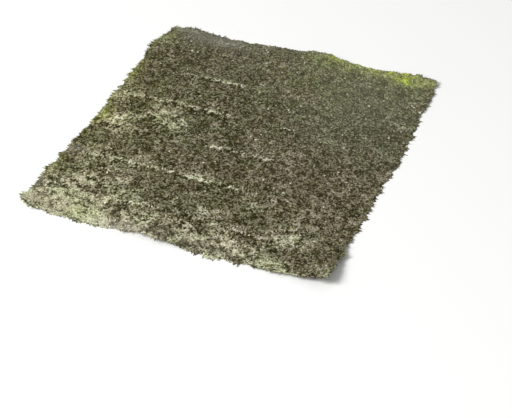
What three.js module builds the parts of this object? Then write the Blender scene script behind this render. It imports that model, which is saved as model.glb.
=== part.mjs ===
// A full sheet of dried nori lying on a flat surface, with its rough side up.
// Millimetres, +Z up. The origin is on the surface, under the middle of the sheet.
// +X runs along the short edges, the way the drying mat's reeds ran, and -Y is the front edge.
import * as THREE from "three";
import { mergeVertices } from "three/addons/utils/BufferGeometryUtils.js";

// Driving dimensions
const SHEET_WIDTH = 190;
const SHEET_LENGTH = 210;
const THICKNESS = 0.4;

// Cells across the width and along the length of each face
const COLUMNS = 40;
const ROWS = 44;

// The middle stands a little proud of the edges, and falls to them over a narrow margin
const DOME_HEIGHT = 3.6;
const DOME_FLATNESS = 4;

// Random cockling of the dried sheet, and the level below which it lies flat on the surface
const COCKLE_HEIGHT = 1.1;
const COCKLE_LENGTH = 34;
const SETTLED_LEVEL = 1.0;
const SETTLE_BLEND = 0.6;

// Torn-looking rim: how far a rim point strays from the clean outline
const RIM_STRAY = 0.5;

// A trimmed corner is blunted over this many times its trim
const TRIM_SPREAD = 3;

const COCKLE_SEED = 11;
const RIM_SEED = 5;

const HALF_WIDTH = SHEET_WIDTH / 2;
const HALF_LENGTH = SHEET_LENGTH / 2;

// Corners that curl up: the corner, its lift, and how far the curl reaches along X and along Y.
// The trim takes that much off the corner's point.
const CORNERS = [
  { x: -1, y: -1, lift: 5.2, reachX: 34, reachY: 30, trim: 0.6 },
  { x: 1, y: -1, lift: 8.6, reachX: 46, reachY: 92, trim: 0.5 },
  { x: -1, y: 1, lift: 2.4, reachX: 40, reachY: 46, trim: 3.4 },
  { x: 1, y: 1, lift: 3.0, reachX: 40, reachY: 40, trim: 1.2 },
];

// Waves in the four edges. Each has its middle along the edge, its lift, its half width there,
// how far it reaches into the sheet, and how far it pushes the edge outwards.
const EDGES = {
  front: [
    { at: -57, lift: 0, spread: 22, reach: 40, push: 0.7 },
    { at: -12, lift: 5.0, spread: 22, reach: 58, push: 0 },
    { at: 19, lift: 0, spread: 20, reach: 40, push: 0.9 },
    { at: 62, lift: 1.6, spread: 16, reach: 40, push: 0 },
  ],
  back: [
    { at: -76, lift: 1.0, spread: 13, reach: 40, push: 0.8 },
    { at: -51, lift: 0, spread: 12, reach: 40, push: -1.3 },
    { at: -18, lift: 2.6, spread: 15, reach: 50, push: 0 },
    { at: 15, lift: 6.2, spread: 17, reach: 64, push: 0.6 },
    { at: 76, lift: 3.2, spread: 16, reach: 42, push: 0 },
  ],
  left: [
    { at: -74, lift: 1.6, spread: 16, reach: 40, push: 0.9 },
    { at: -18, lift: 0, spread: 34, reach: 40, push: -1.1 },
    { at: 72, lift: 2.6, spread: 18, reach: 48, push: 1.3 },
  ],
  right: [
    { at: -74, lift: 0, spread: 30, reach: 40, push: -1.4 },
    { at: 28, lift: 0, spread: 34, reach: 40, push: 1.7 },
    { at: 76, lift: 1.4, spread: 15, reach: 36, push: 0 },
  ],
};

// A repeatable stream of numbers from 0 to 1.
function seededRandom(seed) {
  let state = seed >>> 0;
  return () => {
    state = (Math.imul(state, 1664525) + 1013904223) >>> 0;
    return state / 2 ** 32;
  };
}

// A smooth bump that is 1 at its middle and fades over its half width.
const bump = (distance, spread) => Math.exp(-((distance / spread) ** 2));

// From 1 at an edge down to 0 where the reach ends, with no crease there.
const fade = (distance, reach) => Math.max(0, 1 - distance / reach) ** 2;

// Random heights from -1 to 1 on a square lattice, joined smoothly.
// The lattice reaches one spacing past the sheet on every side.
function latticeNoise(spacing, seed) {
  const random = seededRandom(seed);
  const across = Math.ceil(SHEET_WIDTH / spacing) + 3;
  const along = Math.ceil(SHEET_LENGTH / spacing) + 3;
  const heights = Array.from({ length: across * along }, () => 2 * random() - 1);
  return (x, y) => {
    const column = (x + HALF_WIDTH) / spacing + 1;
    const row = (y + HALF_LENGTH) / spacing + 1;
    const i = Math.floor(column);
    const j = Math.floor(row);
    const s = THREE.MathUtils.smoothstep(column - i, 0, 1);
    const t = THREE.MathUtils.smoothstep(row - j, 0, 1);
    const at = (a, b) => heights[a + b * across];
    return THREE.MathUtils.lerp(
      THREE.MathUtils.lerp(at(i, j), at(i + 1, j), s),
      THREE.MathUtils.lerp(at(i, j + 1), at(i + 1, j + 1), s),
      t,
    );
  };
}

const cockle = latticeNoise(COCKLE_LENGTH, COCKLE_SEED);

// The broad swell of the sheet's middle.
function dome(x, y) {
  const acrossFall = 1 - Math.min(1, Math.abs(x / HALF_WIDTH)) ** DOME_FLATNESS;
  const alongFall = 1 - Math.min(1, Math.abs(y / HALF_LENGTH)) ** DOME_FLATNESS;
  return DOME_HEIGHT * acrossFall * alongFall;
}

// A corner curls about a straight line across it, so the curl depends only on how far in a point is.
function cornerCurl({ x: sideX, y: sideY, lift, reachX, reachY }, x, y) {
  const inX = Math.max(0, HALF_WIDTH - sideX * x) / reachX;
  const inY = Math.max(0, HALF_LENGTH - sideY * y) / reachY;
  return lift * fade(inX + inY, 1);
}

// The lift that one edge's waves give to a point that far along the edge and that far in from it.
function edgeLift(waves, along, inwards) {
  return waves.reduce(
    (sum, w) => sum + w.lift * bump(along - w.at, w.spread) * fade(Math.max(0, inwards), w.reach),
    0,
  );
}

// How far one edge's waves push the outline outwards, that far along the edge.
function edgePush(waves, along) {
  return waves.reduce((sum, w) => sum + w.push * bump(along - w.at, w.spread), 0);
}

// What lies below the surface is pressed flat onto it, with a soft change at the border.
function layOnSurface(height) {
  if (height <= -SETTLE_BLEND) return 0;
  if (height >= SETTLE_BLEND) return height;
  return (height + SETTLE_BLEND) ** 2 / (4 * SETTLE_BLEND);
}

// Height of the underside above the surface.
function undersideHeight(x, y) {
  const lifts =
    edgeLift(EDGES.front, x, HALF_LENGTH + y) +
    edgeLift(EDGES.back, x, HALF_LENGTH - y) +
    edgeLift(EDGES.left, y, HALF_WIDTH + x) +
    edgeLift(EDGES.right, y, HALF_WIDTH - x);
  const curls = CORNERS.reduce((sum, corner) => sum + cornerCurl(corner, x, y), 0);
  return layOnSurface(dome(x, y) + lifts + curls + COCKLE_HEIGHT * cockle(x, y) - SETTLED_LEVEL);
}

// Where a point of an even grid lies in the sheet's uneven outline. u and v run from 0 to 1.
function placeInOutline(u, v, stray) {
  const evenX = (u - 0.5) * SHEET_WIDTH;
  const evenY = (v - 0.5) * SHEET_LENGTH;
  const left = -HALF_WIDTH - edgePush(EDGES.left, evenY);
  const right = HALF_WIDTH + edgePush(EDGES.right, evenY);
  const front = -HALF_LENGTH - edgePush(EDGES.front, evenX);
  const back = HALF_LENGTH + edgePush(EDGES.back, evenX);
  const point = new THREE.Vector2(
    THREE.MathUtils.lerp(left, right, u),
    THREE.MathUtils.lerp(front, back, v),
  );
  for (const corner of CORNERS) {
    const fromCorner = new THREE.Vector2(corner.x * HALF_WIDTH, corner.y * HALF_LENGTH)
      .sub(point)
      .length();
    const inwards = new THREE.Vector2(-corner.x, -corner.y).normalize();
    point.addScaledVector(inwards, corner.trim * bump(fromCorner, TRIM_SPREAD * corner.trim));
  }
  return point.add(stray);
}

// One indexed grid of points for the underside and one for the top, split into triangles alike,
// with a strip of the sheet's thickness round the rim.
function sheetGeometry() {
  const random = seededRandom(RIM_SEED);
  const perFace = (COLUMNS + 1) * (ROWS + 1);
  const positions = new Float32Array(2 * perFace * 3);
  const number = (i, j) => i + j * (COLUMNS + 1);
  for (let j = 0; j <= ROWS; j++) {
    for (let i = 0; i <= COLUMNS; i++) {
      const onRim = i === 0 || j === 0 || i === COLUMNS || j === ROWS;
      const stray = new THREE.Vector2(2 * random() - 1, 2 * random() - 1);
      stray.multiplyScalar(onRim ? RIM_STRAY : 0);
      const { x, y } = placeInOutline(i / COLUMNS, j / ROWS, stray);
      const z = undersideHeight(x, y);
      positions.set([x, y, z], 3 * number(i, j));
      positions.set([x, y, z + THICKNESS], 3 * (perFace + number(i, j)));
    }
  }

  const triangles = [];
  for (let j = 0; j < ROWS; j++) {
    for (let i = 0; i < COLUMNS; i++) {
      const [a, b, c, d] = [number(i, j), number(i + 1, j), number(i + 1, j + 1), number(i, j + 1)];
      triangles.push(a, c, b, a, d, c);
      triangles.push(perFace + a, perFace + b, perFace + c, perFace + a, perFace + c, perFace + d);
    }
  }
  const closeRim = (from, to) =>
    triangles.push(from, to, perFace + to, from, perFace + to, perFace + from);
  for (let i = 0; i < COLUMNS; i++) {
    closeRim(number(i, 0), number(i + 1, 0));
    closeRim(number(i + 1, ROWS), number(i, ROWS));
  }
  for (let j = 0; j < ROWS; j++) {
    closeRim(number(COLUMNS, j), number(COLUMNS, j + 1));
    closeRim(number(0, j + 1), number(0, j));
  }

  const geometry = new THREE.BufferGeometry();
  geometry.setAttribute("position", new THREE.BufferAttribute(positions, 3));
  geometry.setIndex(triangles);
  return mergeVertices(geometry);
}

// Puts the middle of the sheet's box over the origin and its lowest point on the surface.
function standOnOrigin(geometry) {
  geometry.computeBoundingBox();
  const { min, max } = geometry.boundingBox;
  geometry.translate(-(min.x + max.x) / 2, -(min.y + max.y) / 2, -min.z);
  geometry.computeVertexNormals();
  return geometry;
}

const driedSeaweed = new THREE.MeshStandardMaterial({
  name: "dried_seaweed",
  color: 0x595742,
  roughness: 0.7,
  metalness: 0,
});

const sheet = new THREE.Mesh(standOnOrigin(sheetGeometry()), driedSeaweed);
sheet.name = "nori_sheet";

const part = new THREE.Group();
part.add(sheet);

export default part;
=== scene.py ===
# A sheet of dried nori with its rough side up: felted faces, mat lines, a ragged rim and mottled colour.
# Laid out as an add-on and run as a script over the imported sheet. Metres, +Z up.
import math
import random
from typing import NamedTuple

import bmesh
import bpy
from bpy.props import FloatProperty, FloatVectorProperty, IntProperty, PointerProperty
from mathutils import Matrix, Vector, kdtree, noise


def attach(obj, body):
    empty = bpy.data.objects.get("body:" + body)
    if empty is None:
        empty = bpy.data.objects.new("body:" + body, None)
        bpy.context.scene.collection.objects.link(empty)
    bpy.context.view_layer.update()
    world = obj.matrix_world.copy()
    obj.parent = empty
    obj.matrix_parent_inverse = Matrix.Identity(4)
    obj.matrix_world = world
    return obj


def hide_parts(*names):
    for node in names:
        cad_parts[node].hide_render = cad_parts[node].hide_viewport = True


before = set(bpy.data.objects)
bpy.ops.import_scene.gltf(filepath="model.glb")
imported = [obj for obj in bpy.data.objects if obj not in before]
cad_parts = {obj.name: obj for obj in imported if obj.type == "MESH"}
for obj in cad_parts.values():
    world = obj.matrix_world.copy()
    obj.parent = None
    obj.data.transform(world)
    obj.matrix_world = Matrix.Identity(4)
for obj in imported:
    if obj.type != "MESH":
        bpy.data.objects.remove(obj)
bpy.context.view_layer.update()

bl_info = {
    "name": "Nori sheet",
    "version": (1, 0, 0),
    "blender": (4, 5, 0),
    "location": "3D View > Sidebar > Nori",
    "description": "Dresses a sheet of dried nori and lays it on a pale floor",
    "category": "Object",
}

MM = 0.001
UP = Vector((0, 0, 1))
NODE = "nori_sheet"

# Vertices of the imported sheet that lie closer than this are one
MERGE_DISTANCE = 1e-6
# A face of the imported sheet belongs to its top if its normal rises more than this
TOP_FACING = 0.5
# Edges that bend more than this stay crisp
CRISP_ANGLE = math.radians(60)

# The threads of the drying mat left straight lines across the sheet, this far apart. One lies at this Y.
MAT_LINE_GAP = 33 * MM
MAT_LINE_START = 18.5 * MM
# How much of a mat line, and of the pale streak along it, shows where the line doesn't stand out
FAINT_LINE = 0.3
FAINT_STREAK = 0.15

# Each random pattern of the relief is cut from the noise at a height of its own
LOBES, TEETH, FRILLS, CRINKLES, CREASES, GRAIN, RAGGED = range(1, 8)
# The higher this is, the fewer strands of the rim's fringe are long ones
STRAND_RARITY = 4
# How high the crests of the crinkles stand and how steeply they fall off, in shares of the crinkles' height
CRINKLE_CREST = 0.5
CRINKLE_FALL = 2
# How much crinkles and grain count towards a crest
CRINKLE_SHARE = 0.35
GRAIN_SHARE = 0.4

# Sockets of a node that mixes colours: its share, its two colours and its result
MIX_SHARE, MIX_FIRST, MIX_SECOND, MIX_RESULT = 0, 6, 7, 2
# The middle of a shader's noise and its usual range, and how far each pattern is moved away from the last one
EVEN = 0.5
CLOUD_STEP = (0.3, 0.7)
PATTERN_SHIFT = Vector((1.3, 2.1, 3.7))
# Places are scaled by this before a pattern is drawn, so tufts and strands come out larger both ways, and
# flakes longer along Y than along X
TUFT_SQUEEZE = (0.8, 0.8, 1)
FLAKE_SQUEEZE = (1.08, 0.88, 1)
# Share of a stripe's half width in which it shows in full
STRIPE_CORE = 0.2

# What wrinkles and streaks count on the darkest and on the lightest flakes
WRINKLE_COUNTS = (0.1, 1.2)
STREAK_COUNTS = (0.25, 1.5)
# What thinness counts on the darkest and on the lightest tufts
THIN_COUNTS = (0.6, 1.4)
# What tufts and patches count for paleness outside a pale spot and in a full one
PALE_COUNTS = (0.36, 1.56)
# What the lightest flakes and the streaks count for paleness
FLAKE_PALENESS = 0.3
STREAK_PALENESS = 1.4

# Tones at which dark, pale and thin felt reach each of their colours
DARK_TONES = (0.10, 0.40, 1.0)
PALE_TONES = (0.10, 0.32, 0.58, 1.0)
LEAF_TONES = (0, 1)
# Where the soft steps into stronger tufts, into pale felt and into the tints start and end
SWING_STEP = (0, 0.8)
PALE_STEP = (0.5, 1.95)
GREEN_STEP = (0.47, 0.6)
BROWN_STEP = (0.4, 0.53)
VIVID_STEP = (0.75, 1.1)
# Flakes with a random draw beyond these are painted glints: lighter sparks, and the rarer full glints
PAINTED_SPARK_STEP = (0.95, 0.99)
PAINTED_GLINT_STEP = (0.994, 0.997)
# How far thin felt, the painted sheen and the painted glints cover the colour under them
LEAF_COVER = 0.8
PAINTED_SHEEN_COVER = 0.7
PAINTED_GLINT_COVER = 0.8


class Spot(NamedTuple):
    """A soft oval on the sheet, in millimetres, and how strongly it shows in its middle."""

    x: float
    y: float
    reach_x: float
    reach_y: float
    strength: float

    def at(self, place):
        """How strongly the spot shows at a place."""
        across = (place.x / MM - self.x) / self.reach_x
        along = (place.y / MM - self.y) / self.reach_y
        return self.strength * math.exp(-(across**2) - along**2)


SPOTS = {
    # Thin and green, partly painted light that shines through them
    "thin": (
        Spot(76, 99, 8, 6, 1.4),
        Spot(91, 101, 6, 7, 0.45),
        Spot(56, 103, 14, 7, 0.65),
        Spot(26, 102, 16, 8, 0.75),
        Spot(45, 80, 60, 28, 0.12),
        Spot(62, 107, 36, 3, 0.5),
        Spot(-92, -6, 6, 10, 0.5),
        Spot(-94, 45, 5, 12, 0.3),
        Spot(-97, 0, 4, 110, 0.2),
        Spot(-94, -66, 5, 10, 0.15),
        Spot(-91, 95, 7, 8, 0.3),
        Spot(-60, -98, 9, 7, 0.15),
    ),
    # Paler felt: partly thick with pale flakes, partly painted light where the sheet turns to the lamp at its
    # front and left corner and along its back rim; darker where the strength is below zero
    "pale": (
        Spot(-70, -25, 45, 50, 0.14),
        Spot(-86, 18, 10, 7, 0.5),
        Spot(-78, -10, 12, 9, 0.6),
        Spot(-56, 1, 14, 8, 0.7),
        Spot(-42, -4, 8, 6, 0.45),
        Spot(-50, -70, 14, 10, 0.35),
        Spot(-62, -98, 26, 13, 0.85),
        Spot(-86, -92, 18, 17, 1.0),
        Spot(-36, -99, 15, 8, 0.8),
        Spot(-70, -78, 30, 16, 0.12),
        Spot(0, -98, 90, 14, 0.35),
        Spot(0, -105, 110, 3, 0.5),
        Spot(15, -95, 10, 8, 0.4),
        Spot(15, -73, 16, 8, 0.28),
        Spot(62, -76, 9, 6, 0.75),
        Spot(30, -95, 30, 9, 0.2),
        Spot(52, -100, 26, 6, 0.2),
        Spot(60, -40, 45, 50, 0.1),
        Spot(-52, 98, 14, 4, 0.6),
        Spot(-10, 106, 36, 4, 0.5),
        Spot(-80, 104, 16, 4, 0.4),
        Spot(-26, 52, 9, 2.5, 0.2),
        Spot(-29, 18.5, 8, 2.5, 0.4),
        Spot(-4, -14.5, 6, 3, 0.4),
        Spot(-7, -45, 9, 4, 0.35),
        Spot(-28, 0, 5, 6, -0.8),
        Spot(-62, -8, 5, 5, -0.8),
        # Painted shade at the left rim
        Spot(-95, -85, 3, 6, -0.8),
        Spot(-40, 72, 50, 22, -0.08),
        Spot(-70, -68, 8, 6, 0.3),
    ),
    # Painted sheen: a dull grey reflection painted where the sheet is smooth
    "sheen": (
        Spot(-60, 99, 26, 8, 0.8),
        Spot(-86, 104, 10, 3, 0.5),
        Spot(-12, 105, 36, 3, 0.25),
        Spot(-30, -103, 12, 4, 0.6),
        Spot(-72, -98, 30, 12, 0.35),
        Spot(18, -100, 36, 7, 0.25),
        Spot(-92, -46, 5, 5, 0.6),
        Spot(-95, -85, 4, 8, 0.4),
        Spot(62, 66, 24, 18, 0.15),
        Spot(-40, 72, 50, 22, 0.08),
        Spot(66, 55, 55, 65, 0.2),
        Spot(40, 100, 60, 20, 0.15),
    ),
    # Stretches of the mat lines that stand out, with their painted shadows
    "bold": (
        Spot(-28, 52, 11, 3, 1.0),
        Spot(-50, 52, 18, 3, 1.2),
        Spot(80, 52, 14, 3, 0.6),
        Spot(-56, 18.5, 18, 3, 1.5),
        Spot(-27, 18.5, 12, 3, 1.2),
        Spot(22, 18.5, 20, 3, 0.4),
        Spot(-7, -14.5, 9, 3, 1.0),
        Spot(16, -14.5, 16, 3, 1.2),
        Spot(-52, -47.5, 40, 3, 0.7),
        Spot(-10, -47, 14, 4, 0.75),
        Spot(16, -47.5, 10, 3, 0.6),
        Spot(41, -47.5, 10, 3, 0.5),
        Spot(-25, -80.5, 9, 3, 0.8),
        Spot(32, -80.5, 16, 3, 0.8),
    ),
    # Patches that lean to brown
    "brown": (
        Spot(42, -20, 28, 20, 1.0),
        Spot(75, -38, 22, 24, 0.9),
        Spot(-20, -38, 22, 12, 0.7),
        Spot(-68, -55, 14, 45, 0.3),
        Spot(-58, 84, 20, 18, 0.7),
        Spot(-84, 55, 10, 24, 0.6),
        Spot(36, -85, 10, 12, 0.8),
    ),
    # Patches that lean to green
    "green": (
        Spot(58, 54, 26, 32, 1.0),
        Spot(-4, 37, 9, 9, 0.8),
        Spot(-70, 36, 8, 12, 0.9),
        Spot(-52, -2, 9, 8, 0.8),
        Spot(-30, 0, 8, 10, 0.7),
        Spot(-62, -97, 12, 8, 0.4),
    ),
    # Patches that lean to yellow
    "moss": (
        Spot(-95, 0, 45, 75, 0.8),
        Spot(-57, -85, 20, 18, 0.35),
        Spot(-78, -96, 28, 12, 0.6),
        Spot(10, -98, 60, 12, 0.4),
    ),
}


def length(name, description, default):
    """A length in metres as a property."""
    return FloatProperty(
        name=name, description=description, default=default, unit="LENGTH", precision=5, min=0
    )


def angle(name, description, degrees):
    """An angle as a property."""
    return FloatProperty(
        name=name, description=description, default=math.radians(degrees), subtype="ANGLE"
    )


def amount(name, description, default):
    """A plain number that isn't negative, as a property."""
    return FloatProperty(name=name, description=description, default=default, min=0)


def count(name, description, default):
    """A whole number that isn't negative, as a property."""
    return IntProperty(name=name, description=description, default=default, min=0)


def colour(name, description, default):
    """A colour in linear light as a property."""
    return FloatVectorProperty(
        name=name, description=description, default=default, subtype="COLOR", min=0, max=1
    )


class NoriForm(bpy.types.PropertyGroup):
    """Sizes of the sheet's relief and rim."""

    cuts: count("Cuts", "Cuts in each edge of the packed sheet", 4)
    rim_cuts: count("Rim cuts", "Further cuts in each edge of the rim", 2)
    smoothing: count("Smoothing", "Passes that round its facets", 14)
    thickness: length("Thickness", "Thickness of the sheet", 0.4 * MM)
    thinnest: length("Thinnest", "Least thickness, where the relief dips to the floor", 0.12 * MM)
    line_height: length("Line height", "Height of the lines left by the drying mat", 0.3 * MM)
    line_width: length("Line width", "Half width of a mat line", 1.3 * MM)
    crinkle_height: length("Crinkle height", "Height of the crinkles", 0.26 * MM)
    crinkle_size: length("Crinkle size", "Size of one crinkle", 5.5 * MM)
    grain_height: length("Grain height", "Height of the grain of the felt", 0.14 * MM)
    grain_size: length("Grain size", "Size of one grain", 1.9 * MM)
    lobe_depth: length("Lobe depth", "How far the broad lobes of the rim stray", 2.1 * MM)
    lobe_width: length("Lobe width", "Width of one broad lobe", 6.3 * MM)
    tooth_depth: length("Tooth depth", "How far the teeth of the rim stray", 1.4 * MM)
    fringe_root: length("Fringe root", "Width of the strip that teeth and strands grow from", 0.25 * MM)
    deepest_nick: length("Deepest nick", "How deep the teeth may cut into that strip", 0.2 * MM)
    tooth_width: length("Tooth width", "Width of one tooth", 1.4 * MM)
    ragged_length: length("Ragged length", "Length of a stretch with a more or less ragged rim", 60 * MM)
    ragged_swing: amount("Ragged swing", "How much lobes and teeth change from stretch to stretch", 0.8)
    fringe_length: length("Fringe length", "How far the longest single strands stick out", 2.0 * MM)
    frill_height: length("Frill height", "How far the rim rises and falls", 0.5 * MM)
    frill_width: length("Frill width", "Width of one rise of the rim", 7 * MM)
    rim_band: length("Rim band", "How far in from the rim its raggedness reaches", 5 * MM)
    rim_taper: amount("Rim taper", "Share of the thickness that is lost at the rim", 0.75)
    seed: count("Seed", "Picks other random draws for the fringe", 7)


class NoriFelt(bpy.types.PropertyGroup):
    """Colours of the felt, and the sizes and strengths of its patterns."""

    # Painted shade between the flakes
    pit_shade: colour("Pits", "Colour between the flakes", (0.0155, 0.0134, 0.0012))
    olive: colour("Olive", "Colour of most of the flakes", (0.071, 0.0627, 0.0145))
    drab: colour("Drab", "Colour of the upper flakes", (0.32, 0.299, 0.207))
    straw: colour("Straw", "Colour of most of the flakes in pale felt", (0.31, 0.292, 0.162))
    pale: colour("Pale", "Colour of the flakes that catch the light", (0.80, 0.79, 0.61))
    # Colour of the painted sheen, a dull reflection
    painted_sheen_grey: colour("Grey", "Colour of the dull sheen", (0.25, 0.241, 0.20))
    # Thin spots: painted with the light shining through them, over their own greener colour
    leaf: colour("Leaf", "Colour of the pits in thin spots", (0.14, 0.157, 0.036))
    fresh: colour("Fresh", "Colour of thin spots that light comes through", (0.72, 0.80, 0.27))
    vivid: colour("Vivid", "Tint of the thinnest spots", (0.95, 1.0, 0.45))
    green: colour("Green", "Tint of the greener patches", (0.955, 1.0, 0.922))
    brown: colour("Brown", "Tint of the browner patches", (1.0, 0.944, 0.963))
    moss: colour("Moss", "Tint of the yellower patches", (1.0, 0.995, 0.83))

    flake_size: length("Flake size", "Size of one flake", 0.9 * MM)
    flake_swirl: length("Flake swirl", "Size of the swirls that bend the borders of flakes", 1.35 * MM)
    flake_reach: length("Flake reach", "How far those swirls push the borders about", 1.44 * MM)
    fleck_size: length("Fleck size", "Size of the finest flecks", 0.6 * MM)
    wrinkle_size: length("Wrinkle size", "Size of the fine wrinkles", 2.4 * MM)
    strand_size: length("Strand size", "Size of one winding strand", 4.0 * MM)
    swirl_size: length("Swirl size", "Size of the swirls that bend strands and tufts", 6.0 * MM)
    swirl_reach: length("Swirl reach", "How far the swirls push them about", 10.0 * MM)
    tuft_size: length("Tuft size", "Size of a tuft of paler or darker flakes", 4.0 * MM)
    patch_size: length("Patch size", "Size of a patch of paler or darker tufts", 13 * MM)
    tint_size: length("Tint size", "Size of a patch of one tint", 13 * MM)
    dash_size: length("Dash size", "Length of one dash of a mat line", 4.0 * MM)
    streak_width: length("Streak width", "Half width of the pale streak along a mat line", 2.2 * MM)
    line_wander: length("Line wander", "How far the streaks wander from the mat lines", 3.0 * MM)
    # A painted shadow beside each mat line
    painted_shadow_width: length("Groove width", "Half width of the dark groove beside a mat line", 1.6 * MM)
    painted_shadow_offset: length("Groove offset", "From a mat line to its groove", 3.2 * MM)

    flake_tone: amount("Flake tone", "How much lighter the lightest flakes are", 0.9)
    fleck_tone: amount("Fleck tone", "How much lighter the lightest flecks are", 0.4)
    wrinkle_tone: amount("Wrinkle tone", "How much lighter the fine wrinkles are", 0.75)
    strand_tone: amount("Strand tone", "How much lighter the strands are", 0.3)
    # Painted light and shade from the relief: lighter crests, darker hollows
    relief_shade_tone: amount("Crest tone", "How much lighter the crests of the relief are", 0.15)
    tuft_tone: amount("Tuft tone", "How much lighter the lightest tufts are", 0.25)
    patch_tone: amount("Patch tone", "How much lighter the lightest patches are", 0.12)
    # The pale spots are partly painted light
    pale_tone: amount("Pale tone", "How much lighter the pale spots are", 0.2)
    streak_tone: amount("Streak tone", "How much lighter the streaks are", 0.35)
    # Painted shadow beside the mat lines
    painted_shadow_tone: amount("Groove tone", "How much darker the grooves are", 0.4)
    swing: amount("Swing", "How much stronger strands, tufts and patches show in pale felt", 0.9)
    calm: amount("Calm", "How much weaker they show where the sheet has a sheen", 1.8)
    # Painted glints on a few single flakes
    painted_spark_tone: amount("Spark tone", "How much lighter a few single flakes are", 0.5)
    lean: amount("Lean", "How far the brown and green spots lean to their tint", 0.15)
    mottle: amount("Mottle", "How far the tint changes at random", 0.65)

    flake_tilt: amount("Flake tilt", "How far the flakes are tipped", 0.5)
    fleck_tilt: amount("Fleck tilt", "How far the flecks are tipped", 0.4)
    bump_height: length("Bump height", "Height of the finest relief", 0.32 * MM)
    roughness: amount("Roughness", "Roughness of the dullest flakes", 0.7)
    gloss: amount("Gloss", "How much smoother the glossiest flakes are", 0.3)
    shine: amount("Shine", "Specular level of all flakes", 0.08)


class NoriStage(bpy.types.PropertyGroup):
    """Camera, light and floor."""

    azimuth: angle("Azimuth", "Camera's turn from the front", 22.15)
    elevation: angle("Elevation", "Camera's height angle", 39.55)
    distance: length("Distance", "From the camera to what it looks at", 768 * MM)
    target: FloatVectorProperty(
        name="Target",
        description="The point that the camera looks at",
        default=(34.4 * MM, -59.4 * MM, 1.9 * MM),
        subtype="TRANSLATION",
    )
    lens: amount("Lens", "Focal length in millimetres", 94.06)
    clip_start: length("Clip start", "Nearest distance that the camera sees", 10 * MM)
    floor_size: length("Floor size", "Side of the floor", 12)
    floor_colour: colour("Floor", "Colour of the floor", (0.92, 0.92, 0.91))
    floor_roughness: amount("Floor roughness", "Roughness of the floor", 0.9)
    key_azimuth: angle("Key azimuth", "Key light's turn from the front", -40)
    key_elevation: angle("Key elevation", "Key light's height angle", 42)
    key_distance: length("Key distance", "From the key light to the sheet", 2.5)
    key_power: amount("Key power", "Power of the key light in watts", 66)
    key_size: length("Key size", "Side of the key light", 1.0)
    sky_strength: amount("Sky", "Strength of the light all round", 0.43)


class Value:
    """A shader socket that Python arithmetic turns into Math nodes."""

    def __init__(self, finish, socket):
        self.finish = finish
        self.socket = socket

    def math(self, operation, *others):
        """Maths with this as the first operand."""
        operands = dict(enumerate((self, *others)))
        return self.finish.add("ShaderNodeMath", {"operation": operation}, operands)

    def reflected(self, operation, other):
        """Maths with this as the second operand."""
        return self.finish.add("ShaderNodeMath", {"operation": operation}, {0: other, 1: self})

    def __add__(self, other):
        return self.math("ADD", other)

    def __sub__(self, other):
        return self.math("SUBTRACT", other)

    def __mul__(self, other):
        return self.math("MULTIPLY", other)

    def __rsub__(self, other):
        return self.reflected("SUBTRACT", other)

    __radd__ = __add__
    __rmul__ = __mul__

    def step(self, low, high):
        """From 0 at low to 1 at high, with soft ends."""
        limits = {"Value": self, "From Min": low, "From Max": high}
        return self.finish.add("ShaderNodeMapRange", {"interpolation_type": "SMOOTHSTEP"}, limits)

    def between(self, low, high):
        """From low where this is 0 to high where it is 1."""
        return low + (high - low) * self


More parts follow.
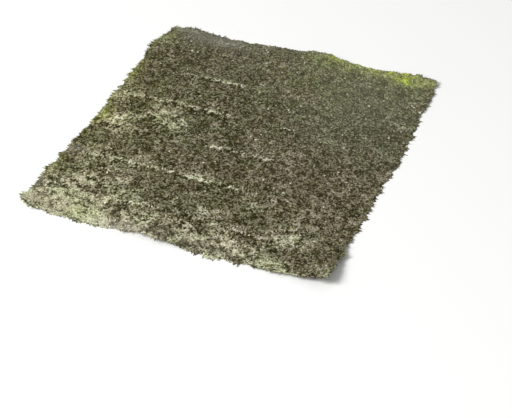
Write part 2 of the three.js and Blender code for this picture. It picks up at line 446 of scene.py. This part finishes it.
class Finish:
    """One material and the nodes added to it."""

    def __init__(self, name):
        self.material = bpy.data.materials.new(name)
        self.material.use_nodes = True
        self.tree = self.material.node_tree
        self.tree.nodes.clear()
        self.shifts = 0

    def add(self, kind, settings=None, sockets=None, output=0):
        """Adds a node, sets it, then sets or links its sockets, and returns one of its outputs."""
        node = self.tree.nodes.new(kind)
        for name, setting in (settings or {}).items():
            if name == "stops":
                self.set_stops(node.color_ramp, setting)
            else:
                setattr(node, name, setting)
        for name, value in (sockets or {}).items():
            if isinstance(value, Value):
                self.tree.links.new(value.socket, node.inputs[name])
            else:
                node.inputs[name].default_value = value
        return Value(self, node.outputs[output]) if node.outputs else None

    @staticmethod
    def set_stops(ramp, stops):
        """Gives a colour ramp its stops, each a position and a shade."""
        while len(ramp.elements) < len(stops):
            ramp.elements.new(1)
        for element, (position, shade) in zip(ramp.elements, stops):
            element.position = position
            element.color = (*shade, 1)

    def attribute(self, name):
        """A number noted on the mesh's vertices."""
        return self.add("ShaderNodeAttribute", {"attribute_name": name}, output="Fac")

    def vector(self, operation, *operands):
        """Vector maths on places, normals or colours."""
        return self.add("ShaderNodeVectorMath", {"operation": operation}, dict(enumerate(operands)))

    def moved(self, place):
        """A place shifted further each time, so that no two patterns agree."""
        self.shifts += 1
        return self.vector("ADD", place, self.shifts * PATTERN_SHIFT)

    def noise(self, place, size, detail=2.0, output="Fac"):
        """Cloudy noise whose blobs are about that size."""
        sockets = {"Vector": place, "Scale": 1 / size, "Detail": detail}
        return self.add("ShaderNodeTexNoise", {}, sockets, output)

    def clouds(self, place, size):
        """Cloudy noise that fills the range from 0 to 1."""
        return self.noise(place, size).step(*CLOUD_STEP)

    def veins(self, place, size, detail, sharpness):
        """Winding lines, 1 in their middle and 0 between them."""
        away = (self.noise(place, size, detail) - EVEN).math("ABSOLUTE")
        return (1 - sharpness * away).math("MAXIMUM", 0)

    def swirled(self, place, size, reach):
        """Places pushed about at random, by up to about half the reach, in swirls of that size."""
        push = self.vector("SUBTRACT", self.noise(place, size, output="Color"), (EVEN, EVEN, EVEN))
        return self.vector("MULTIPLY_ADD", push, (reach, reach, 0), place)

    def cells(self, place, size):
        """A random colour for each cell of about that size."""
        return self.add("ShaderNodeTexVoronoi", {}, {"Vector": place, "Scale": 1 / size}, "Color")

    def channel(self, shade, name):
        """One channel of a colour."""
        return self.add("ShaderNodeSeparateColor", {}, {0: shade}, name)

    def ramp(self, tone, tones, shades):
        """A colour for each tone, mixed evenly between the shades at the tones given."""
        return self.add("ShaderNodeValToRGB", {"stops": tuple(zip(tones, shades))}, {0: tone})

    def mix(self, factor, first, second, blend="MIX"):
        """The first colour, changed towards the second or by it."""
        settings = {"data_type": "RGBA", "blend_type": blend}
        sockets = {MIX_SHARE: factor, MIX_FIRST: solid(first), MIX_SECOND: solid(second)}
        return self.add("ShaderNodeMix", settings, sockets, MIX_RESULT)

    def tilted(self, normal, cells, tilt):
        """A normal tipped at random, cell by cell, by up to about that much."""
        tip = self.vector("SUBTRACT", cells, (EVEN, EVEN, EVEN))
        return self.vector("NORMALIZE", self.vector("MULTIPLY_ADD", tip, (2 * tilt, 2 * tilt, 0), normal))

    def surface(self, sockets):
        """Ends the material with one shader that has those sockets, and returns the material."""
        shader = self.add("ShaderNodeBsdfPrincipled", {}, sockets)
        self.add("ShaderNodeOutputMaterial", {}, {"Surface": shader})
        return self.material


def solid(shade):
    """A colour property as a socket's value; links pass unchanged."""
    return shade if isinstance(shade, Value) else (*shade, 1)


def flake_cells(finish, place, felt):
    """Random colours for the flakes and for the finer flecks, in cells with winding borders."""
    swirled = finish.swirled(place, felt.flake_swirl, felt.flake_reach)
    swirled = finish.vector("MULTIPLY", swirled, FLAKE_SQUEEZE)
    return finish.cells(swirled, felt.flake_size), finish.cells(finish.moved(swirled), felt.fleck_size)


def stripe(distance, half_width):
    """1 near the middle of a stripe and 0 beyond its half width, from the distance to that middle."""
    return 1 - distance.step(STRIPE_CORE * half_width, half_width)


def mat_marks(finish, place, swirled, felt, tuft, flake_tone):
    """Broken pale streaks along the mat lines, partly painted highlight where the raised lines catch the
    light, and a painted shadow beside each.
    """
    depth = finish.add("ShaderNodeSeparateXYZ", {}, {0: place}, "Y") + felt.line_wander * (tuft - EVEN)
    from_line = (depth - MAT_LINE_START).math("PINGPONG", MAT_LINE_GAP / 2)
    from_painted_shadow = (depth - MAT_LINE_START + felt.painted_shadow_offset).math("PINGPONG", MAT_LINE_GAP / 2)
    dash = finish.veins(finish.moved(swirled), felt.dash_size, detail=1, sharpness=5)
    bold = finish.attribute("bold")
    streak = stripe(from_line, felt.streak_width) * dash
    streak = streak * (FAINT_STREAK + bold) * flake_tone.between(*STREAK_COUNTS)
    return streak, stripe(from_painted_shadow, felt.painted_shadow_width) * bold


def felt_shade(finish, felt, tone, paleness, leafiness):
    """Dark felt that passes into pale felt and into thin green felt."""
    dark = finish.ramp(tone, DARK_TONES, (felt.pit_shade, felt.olive, felt.drab))
    pale = finish.ramp(tone, PALE_TONES, (felt.pit_shade, felt.olive, felt.straw, felt.pale))
    leafy = finish.ramp(tone, LEAF_TONES, (felt.leaf, felt.fresh))
    return finish.mix(LEAF_COVER * leafiness, finish.mix(paleness, dark, pale), leafy)


def tinted(finish, place, felt, shade, leafiness):
    """The shade in greener, browner and yellower patches, with the thinnest spots the greenest."""
    hue = EVEN + felt.mottle * (finish.noise(finish.moved(place), felt.tint_size) - EVEN)
    hue = hue + felt.lean * (finish.attribute("green") - finish.attribute("brown"))
    tints = (
        (hue.step(*GREEN_STEP), felt.green),
        (1 - hue.step(*BROWN_STEP), felt.brown),
        (finish.attribute("moss"), felt.moss),
        (leafiness.step(*VIVID_STEP), felt.vivid),
    )
    for share, tint in tints:
        shade = finish.mix(share, shade, tint, "MULTIPLY")
    return shade


def seaweed_finish(felt):
    """Felted dried seaweed: flakes in mottled olives, painted shade in the pits, painted light on the crests,
    a painted sheen and glints, and thin green spots partly painted with light shining through.
    """
    finish = Finish("dried_seaweed_felt")
    place = finish.add("ShaderNodeTexCoord", output="Object")
    flake, fleck = flake_cells(finish, place, felt)
    flake_tone = finish.channel(flake, "Red")
    flake_draw = finish.channel(flake, "Blue")
    wrinkle = finish.veins(place, felt.wrinkle_size, detail=0.5, sharpness=12)
    swirled = finish.swirled(finish.moved(place), felt.swirl_size, felt.swirl_reach)
    swirled = finish.vector("MULTIPLY", swirled, TUFT_SQUEEZE)
    tuft = finish.clouds(swirled, felt.tuft_size)
    strand = finish.veins(finish.moved(swirled), felt.strand_size, detail=1, sharpness=6)
    patch = finish.clouds(finish.moved(place), felt.patch_size)
    streak, painted_shadow = mat_marks(finish, place, swirled, felt, tuft, flake_tone)
    # Pale spots, partly painted light, and the painted sheen
    pale = finish.attribute("pale")
    sheen = finish.attribute("sheen")

    # The height of the finest relief, also painted into the tone: painted light on what stands higher,
    # painted shade in the hollows
    rise = felt.flake_tone * flake_tone * flake_tone + felt.fleck_tone * finish.channel(fleck, "Red")
    rise = rise + felt.wrinkle_tone * wrinkle * flake_tone.between(*WRINKLE_COUNTS)
    rise = rise + felt.relief_shade_tone * (finish.attribute("crest") - 1)
    swing = (1 + felt.swing * pale.step(*SWING_STEP) - felt.calm * sheen).math("MAXIMUM", 0)
    tone = rise + felt.pale_tone * pale
    for share, pattern in ((felt.tuft_tone, tuft), (felt.patch_tone, patch), (felt.strand_tone, strand)):
        tone = tone + share * swing * (pattern - EVEN)
    # Pale streaks, partly painted highlight, and painted shadows beside the mat lines
    tone = tone + felt.streak_tone * streak - felt.painted_shadow_tone * painted_shadow
    # Painted glints: a few single flakes lighter
    tone = tone + felt.painted_spark_tone * flake_draw.step(*PAINTED_SPARK_STEP)

    paleness = pale.between(*PALE_COUNTS) * (tuft + patch)
    paleness = paleness + FLAKE_PALENESS * flake_tone + STREAK_PALENESS * streak
    # Thin spots, partly painted light shining through
    leafiness = finish.attribute("thin") * tuft.between(*THIN_COUNTS)
    shade = felt_shade(finish, felt, tone, paleness.step(*PALE_STEP), leafiness)
    shade = tinted(finish, place, felt, shade, leafiness)
    # Painted sheen: a dull grey reflection mixed over the felt
    shade = finish.mix(PAINTED_SHEEN_COVER * sheen, shade, felt.painted_sheen_grey)
    # Painted glints in the pale colour
    shade = finish.mix(PAINTED_GLINT_COVER * flake_draw.step(*PAINTED_GLINT_STEP), shade, felt.pale)

    bump = finish.add("ShaderNodeBump", {}, {"Distance": felt.bump_height, "Height": rise})
    sockets = {
        "Base Color": shade,
        "Roughness": felt.roughness - felt.gloss * finish.channel(flake, "Green"),
        "Specular IOR Level": felt.shine,
        "Normal": finish.tilted(finish.tilted(bump, flake, felt.flake_tilt), fleck, felt.fleck_tilt),
    }
    return finish.surface(sockets)


def floor_finish(stage):
    """A plain pale floor."""
    sockets = {"Base Color": solid(stage.floor_colour), "Roughness": stage.floor_roughness}
    return Finish("pale_floor").surface(sockets)


def wander(place, size, height):
    """Smooth noise from -1 to 1 over the sheet, with bumps of about that size."""
    return noise.noise(Vector((place.x / size, place.y / size, height)))


def top_of_packed_sheet(node, form):
    """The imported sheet's upper face, cut finer and with its facets rounded off."""
    sheet = bmesh.new()
    sheet.from_mesh(node.data)
    bmesh.ops.remove_doubles(sheet, verts=sheet.verts, dist=MERGE_DISTANCE)
    sheet.normal_update()
    rest = [face for face in sheet.faces if face.normal.z < TOP_FACING]
    bmesh.ops.delete(sheet, geom=rest, context="FACES")
    bmesh.ops.subdivide_edges(sheet, edges=sheet.edges, cuts=form.cuts, use_grid_fill=True)
    for _ in range(form.smoothing):
        bmesh.ops.smooth_vert(sheet, verts=sheet.verts, factor=0.5, use_axis_z=True)
    rim = [edge for edge in sheet.edges if edge.is_boundary]
    bmesh.ops.subdivide_edges(sheet, edges=rim, cuts=form.rim_cuts)
    bmesh.ops.inset_region(
        sheet, faces=sheet.faces, thickness=form.fringe_root, use_boundary=True, use_even_offset=True
    )
    return sheet


def way_out(vert):
    """The level direction that leads out of the sheet at a vertex of its rim."""
    out = Vector()
    for edge in vert.link_edges:
        if edge.is_boundary:
            first, second = edge.verts
            across = (second.co - first.co).cross(UP)
            outside = (first.co + second.co) / 2 - edge.link_faces[0].calc_center_median()
            out += across if across.dot(outside) > 0 else -across
    out.z = 0
    return out.normalized()


def fade(distance, reach):
    """From 1 at no distance to 0 where the reach ends."""
    return min(1, max(0, 1 - distance / reach)) ** 2


def roughen_rim(sheet, form):
    """Pulls the rim into broad lobes and small frills, and its very edge into teeth and single strands."""
    scatter = random.Random(form.seed)
    # How near the rim each vertex is, from 0 inside the sheet to 1 at its very edge
    edge = sheet.verts.layers.float.new("edge")
    rim = [vert for vert in sheet.verts if vert.is_boundary]
    outs = [way_out(vert) for vert in rim]
    tree = kdtree.KDTree(len(rim))
    for number, vert in enumerate(rim):
        tree.insert(vert.co, number)
    tree.balance()
    sways = []
    teeth = []
    for vert, out in zip(rim, outs):
        # Lobes take the way out from a whole stretch of rim, so that no face folds over at a corner
        near = tree.find_range(vert.co, form.rim_band)
        soft_out = sum((outs[number] for _, number, _ in near), Vector()).normalized()
        lobe = form.lobe_depth * wander(vert.co, form.lobe_width, LOBES)
        frill = form.frill_height * wander(vert.co, form.frill_width, FRILLS)
        ragged = 1 + form.ragged_swing * wander(vert.co, form.ragged_length, RAGGED)
        tooth = form.tooth_depth * wander(vert.co, form.tooth_width, TEETH)
        strand = form.fringe_length * scatter.random() ** STRAND_RARITY
        sways.append(ragged * lobe * soft_out + frill * UP)
        teeth.append(max(ragged * (tooth + strand), -form.deepest_nick) * out)
    for vert in sheet.verts:
        _, number, distance = tree.find(vert.co)
        vert[edge] = fade(distance - form.fringe_root, form.rim_band)
        vert.co += sways[number] * vert[edge]
    for vert, tooth in zip(rim, teeth):
        vert.co += tooth


def mark_spots(sheet):
    """Notes on each vertex how strongly each kind of spot shows there."""
    for name, spots in SPOTS.items():
        layer = sheet.verts.layers.float.new(name)
        for vert in sheet.verts:
            vert[layer] = sum(spot.at(vert.co) for spot in spots)


def line_at(place, form):
    """Height of the nearest mat line at a place, from 0 to 1."""
    turns = (place.y - MAT_LINE_START) / MAT_LINE_GAP
    away = (turns - round(turns)) * MAT_LINE_GAP
    return math.exp(-((away / form.line_width) ** 2))


def crinkle_at(place, form):
    """Height of the crinkles at a place, in shares of their height: sharp crests with finer creases."""
    folds = CRINKLE_FALL * abs(wander(place, form.crinkle_size, CRINKLES))
    folds += abs(wander(place, form.crinkle_size / 2, CREASES))
    return CRINKLE_CREST - folds


def raise_relief(sheet, form):
    """Raises mat lines, crinkles and grain out of the sheet, and notes where its crests are."""
    bold = sheet.verts.layers.float["bold"]
    crest = sheet.verts.layers.float.new("crest")
    for vert in sheet.verts:
        crinkle = crinkle_at(vert.co, form)
        grain = wander(vert.co, form.grain_size, GRAIN)
        line = line_at(vert.co, form) * (FAINT_LINE + vert[bold])
        vert[crest] = EVEN + CRINKLE_SHARE * crinkle + GRAIN_SHARE * grain
        vert.co.z += form.line_height * line + form.crinkle_height * crinkle + form.grain_height * grain
        vert.co.z = max(vert.co.z, form.thinnest)


def sort_faces(sheet):
    """Puts the faces in the order of their vertices, because extruding orders them anew each run."""
    sheet.verts.index_update()
    in_order = sorted(sheet.faces, key=lambda face: sorted(vert.index for vert in face.verts))
    for number, face in enumerate(in_order):
        face.index = number
    sheet.faces.sort()


def give_thickness(sheet, form):
    """Closes the face with an underside straight below it, nearer at the rim and never under the floor."""
    edge = sheet.verts.layers.float["edge"]
    lower = list(sheet.verts)
    bmesh.ops.extrude_face_region(sheet, geom=sheet.faces)
    sort_faces(sheet)
    for vert in lower:
        thickness = form.thickness * (1 - form.rim_taper * vert[edge])
        vert.co.z = max(vert.co.z - thickness, 0)
    sheet.verts.layers.float.remove(edge)
    if sheet.calc_volume(signed=True) < 0:
        raise ValueError("The sheet's faces look inwards")


def new_object(name, shape, material):
    """A mesh object at the origin with that material, smooth but for its crisp edges."""
    mesh = bpy.data.meshes.new(name)
    shape.to_mesh(mesh)
    shape.free()
    packed_normals = mesh.attributes.get("custom_normal")
    if packed_normals:
        mesh.attributes.remove(packed_normals)
    mesh.shade_smooth()
    mesh.set_sharp_from_angle(angle=CRISP_ANGLE)
    mesh.materials.append(material)
    made = bpy.data.objects.new(name, mesh)
    bpy.context.scene.collection.objects.link(made)
    return made


class NORI_OT_lay_sheet(bpy.types.Operator):
    """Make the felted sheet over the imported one"""

    bl_idname = "nori.lay_sheet"
    bl_label = "Lay the sheet"

    def execute(self, context):
        form = context.scene.nori_form
        sheet = top_of_packed_sheet(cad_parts[NODE], form)
        roughen_rim(sheet, form)
        mark_spots(sheet)
        raise_relief(sheet, form)
        give_thickness(sheet, form)
        piece = new_object("felted_sheet", sheet, seaweed_finish(context.scene.nori_felt))
        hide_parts(NODE)
        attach(piece, "root")
        return {"FINISHED"}


def around(azimuth, elevation):
    """The direction from the sheet towards a camera or light at those angles."""
    level = math.cos(elevation)
    return Vector((math.sin(azimuth) * level, -math.cos(azimuth) * level, math.sin(elevation)))


def aim(name, data, target, direction, distance):
    """An object at that distance from the target, looking at it."""
    made = bpy.data.objects.new(name, data)
    made.location = target + direction * distance
    made.rotation_euler = (-direction).to_track_quat("-Z", "Y").to_euler()
    bpy.context.scene.collection.objects.link(made)
    return made


def lay_floor(stage):
    """A wide floor under the sheet."""
    ground = bmesh.new()
    bmesh.ops.create_grid(ground, x_segments=1, y_segments=1, size=stage.floor_size / 2)
    new_object("floor", ground, floor_finish(stage))


def light_studio(stage):
    """Even light from all round and one soft key light."""
    world = bpy.data.worlds.new("studio")
    world.use_nodes = True
    backdrop = world.node_tree.nodes["Background"]
    backdrop.inputs["Color"].default_value = (1, 1, 1, 1)
    backdrop.inputs["Strength"].default_value = stage.sky_strength
    bpy.context.scene.world = world
    key = bpy.data.lights.new("key_light", "AREA")
    key.energy = stage.key_power
    key.size = stage.key_size
    aim("key_light", key, Vector(), around(stage.key_azimuth, stage.key_elevation), stage.key_distance)


def place_camera(stage):
    """The camera at the photograph's viewing angle."""
    camera = bpy.data.cameras.new("camera")
    camera.lens = stage.lens
    camera.clip_start = stage.clip_start
    camera.clip_end = 2 * stage.floor_size
    direction = around(stage.azimuth, stage.elevation)
    bpy.context.scene.camera = aim("camera", camera, Vector(stage.target), direction, stage.distance)
    bpy.context.scene.view_settings.view_transform = "Standard"


class NORI_OT_set_stage(bpy.types.Operator):
    """Make the floor, the light and the camera"""

    bl_idname = "nori.set_stage"
    bl_label = "Set the stage"

    def execute(self, context):
        stage = context.scene.nori_stage
        lay_floor(stage)
        light_studio(stage)
        place_camera(stage)
        return {"FINISHED"}


class NORI_PT_sheet(bpy.types.Panel):
    """Lists the sheet's settings and operators"""

    bl_label = "Nori sheet"
    bl_idname = "NORI_PT_sheet"
    bl_space_type = "VIEW_3D"
    bl_region_type = "UI"
    bl_category = "Nori"

    def draw(self, context):
        for name, kind in SETTINGS.items():
            box = self.layout.box()
            for each in kind.__annotations__:
                box.prop(getattr(context.scene, name), each)
        for operator in OPERATORS:
            self.layout.operator(operator.bl_idname)


SETTINGS = {"nori_form": NoriForm, "nori_felt": NoriFelt, "nori_stage": NoriStage}
OPERATORS = (NORI_OT_lay_sheet, NORI_OT_set_stage)
CLASSES = (*SETTINGS.values(), *OPERATORS, NORI_PT_sheet)


def register():
    for each in CLASSES:
        bpy.utils.register_class(each)
    for name, kind in SETTINGS.items():
        setattr(bpy.types.Scene, name, PointerProperty(type=kind))


def unregister():
    for name in SETTINGS:
        delattr(bpy.types.Scene, name)
    for each in reversed(CLASSES):
        bpy.utils.unregister_class(each)


def main():
    """Makes the sheet and its stage."""
    register()
    bpy.ops.nori.lay_sheet()
    bpy.ops.nori.set_stage()


if __name__ == "__main__":
    main()
